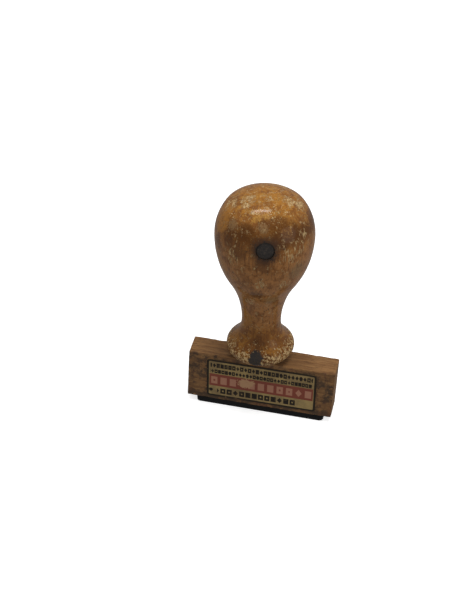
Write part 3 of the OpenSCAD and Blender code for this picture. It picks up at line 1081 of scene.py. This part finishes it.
studio = {
    "floorRadius": 1.6,
    "floorSegments": 96,
    "bend": 0.6,  # the floor sweeps up into a backdrop
    "wallRise": 1.8,
    "floorColour": (0.80, 0.80, 0.80),
    "floorGlow": 0.72,
    "worldColour": (1.0, 1.0, 1.0),
    "worldStrength": 0.30,
    "topPlace": (0.10, -0.05, 0.78),
    "topSize": 0.45,
    "topPower": 2.75,
    "stripPlace": (-0.108, 0.093, 0.78),
    "stripSize": (0.40, 0.05),
    "stripPower": 0.75,
    "stripTurn": -38.0,  # degrees about its own beam
    "fillPlace": (0.55, -0.22, 0.24),
    "fillSize": 0.4,
    "fillPower": 0.36,
}
cameraView = {
    "aim": (-18.48, 19.05, 29.4),    # millimetres
    "azimuth": 12.34,  # degrees
    "elevation": 37.5,
    "roll": 1.21,
    "distance": 531.75,  # millimetres
    "lens": 88.07,
}


# A pale floor that sweeps up into a backdrop. It takes shadows but casts none, stays out of reflections
# and bounced light, and is clear from below, so the printing face can be seen.
def buildFloor():
    bend = studio["bend"]
    flat = studio["floorRadius"]
    profile = [(flat * i / 8, 0.0) for i in range(1, 9)]
    profile += [(flat + bend * math.sin(math.radians(10 * i)), bend - bend * math.cos(math.radians(10 * i)))
                for i in range(1, 10)]
    profile += [(flat + bend, bend + studio["wallRise"] * i / 3) for i in range(1, 4)]
    segments = studio["floorSegments"]
    points = [(0, 0, 0)]
    faces = []
    for ring, (radius, level) in enumerate(profile):
        for i in range(segments):
            t = 2 * math.pi * i / segments
            points.append((radius * math.cos(t), radius * math.sin(t), level))
            a = 1 + ring * segments + i
            b = 1 + ring * segments + (i + 1) % segments
            if ring == 0:
                faces.append((0, a, b))
            else:
                faces.append((a - segments, a, b, b - segments))
    mesh = bpy.data.meshes.new("floor")
    mesh.from_pydata(points, [], faces)
    mesh.polygons.foreach_set("use_smooth", [True] * len(mesh.polygons))
    p = Paint("paleFloor")
    soft = p.noise(p.place(), 0.01, 3.0, 0.5)
    colour = p.mix(soft, studio["floorColour"], tuple(k * 0.985 for k in studio["floorColour"]))
    p.finish(Base_Color=colour, Roughness=0.75, Emission_Color=(1, 1, 1),
             Emission_Strength=studio["floorGlow"])
    clear = p.add("ShaderNodeBsdfTransparent")
    under = p.add("ShaderNodeNewGeometry", out="Backfacing")
    shaded = p.add("ShaderNodeMixShader", None, {0: under, 1: Signal(p, p.shader.outputs[0]), 2: clear})
    p.feed(p.output.inputs["Surface"], shaded)
    mesh.materials.append(p.material)
    floor = bpy.data.objects.new("floor", mesh)
    floor.visible_diffuse = False
    floor.visible_glossy = False
    floor.visible_shadow = False
    bpy.context.scene.collection.objects.link(floor)


def areaLight(name, place, size, power, target, shape="DISK"):
    light = bpy.data.lights.new(name, "AREA")
    light.shape = shape
    if shape == "RECTANGLE":
        light.size, light.size_y = size
    else:
        light.size = size
    light.energy = power
    lamp = bpy.data.objects.new(name, light)
    lamp.location = place
    lamp.rotation_euler = (Vector(place) - Vector(target)).to_track_quat("Z", "Y").to_euler()
    bpy.context.scene.collection.objects.link(lamp)
    return lamp


def buildWorld():
    world = bpy.data.worlds.new("paleRoom")
    world.use_nodes = True
    background = world.node_tree.nodes["Background"]
    background.inputs["Color"].default_value = (*studio["worldColour"], 1.0)
    background.inputs["Strength"].default_value = studio["worldStrength"]
    bpy.context.scene.world = world


def buildCamera():
    v = cameraView
    azimuth = math.radians(v["azimuth"])
    elevation = math.radians(v["elevation"])
    back = Vector((math.sin(azimuth) * math.cos(elevation), -math.cos(azimuth) * math.cos(elevation),
                   math.sin(elevation)))
    camera = bpy.data.cameras.new("camera")
    camera.lens = v["lens"]
    camera.sensor_width = 36.0
    camera.clip_start = 0.01
    camera.clip_end = 20.0
    holder = bpy.data.objects.new("camera", camera)
    turn = (-back).to_track_quat("-Z", "Y").to_matrix().to_4x4()
    place = Vector(v["aim"]) * mm + back * v["distance"] * mm
    roll = Matrix.Rotation(math.radians(v["roll"]), 4, "Z")
    holder.matrix_world = Matrix.Translation(place) @ turn @ roll
    bpy.context.scene.collection.objects.link(holder)
    bpy.context.scene.camera = holder


buildCamera()
buildFloor()
buildWorld()
objectMiddle = (cadBounds[0] + cadBounds[1]) / 2
softTop = areaLight("softTop", studio["topPlace"], studio["topSize"], studio["topPower"], objectMiddle)
softTop.visible_glossy = False
areaLight("fill", studio["fillPlace"], studio["fillSize"], studio["fillPower"], objectMiddle)
strip = areaLight("strip", studio["stripPlace"], studio["stripSize"], studio["stripPower"], objectMiddle,
                  "RECTANGLE")
strip.rotation_euler.rotate_axis("Z", math.radians(studio["stripTurn"]))
bpy.context.scene.view_settings.view_transform = "Standard"
print("studio ready")

buildHandle(handlePaint())
buildPeg(pegPaint())
buildMount(mountPaint())
buildLabel(labelPaint())
buildCushion(rubberPaint("spongeRubber", *rubberFinish["sponge"]))
buildDie(rubberPaint("dieRubber", *rubberFinish["die"]))
screwLow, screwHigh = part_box("mounting_screw")
print("screw kept as it is,", round((screwHigh.z - screwLow.z) / mm, 1), "mm long")
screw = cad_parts["mounting_screw"]
screw.data.materials.clear()
screw.data.materials.append(steelPaint())
print("pieces ready")
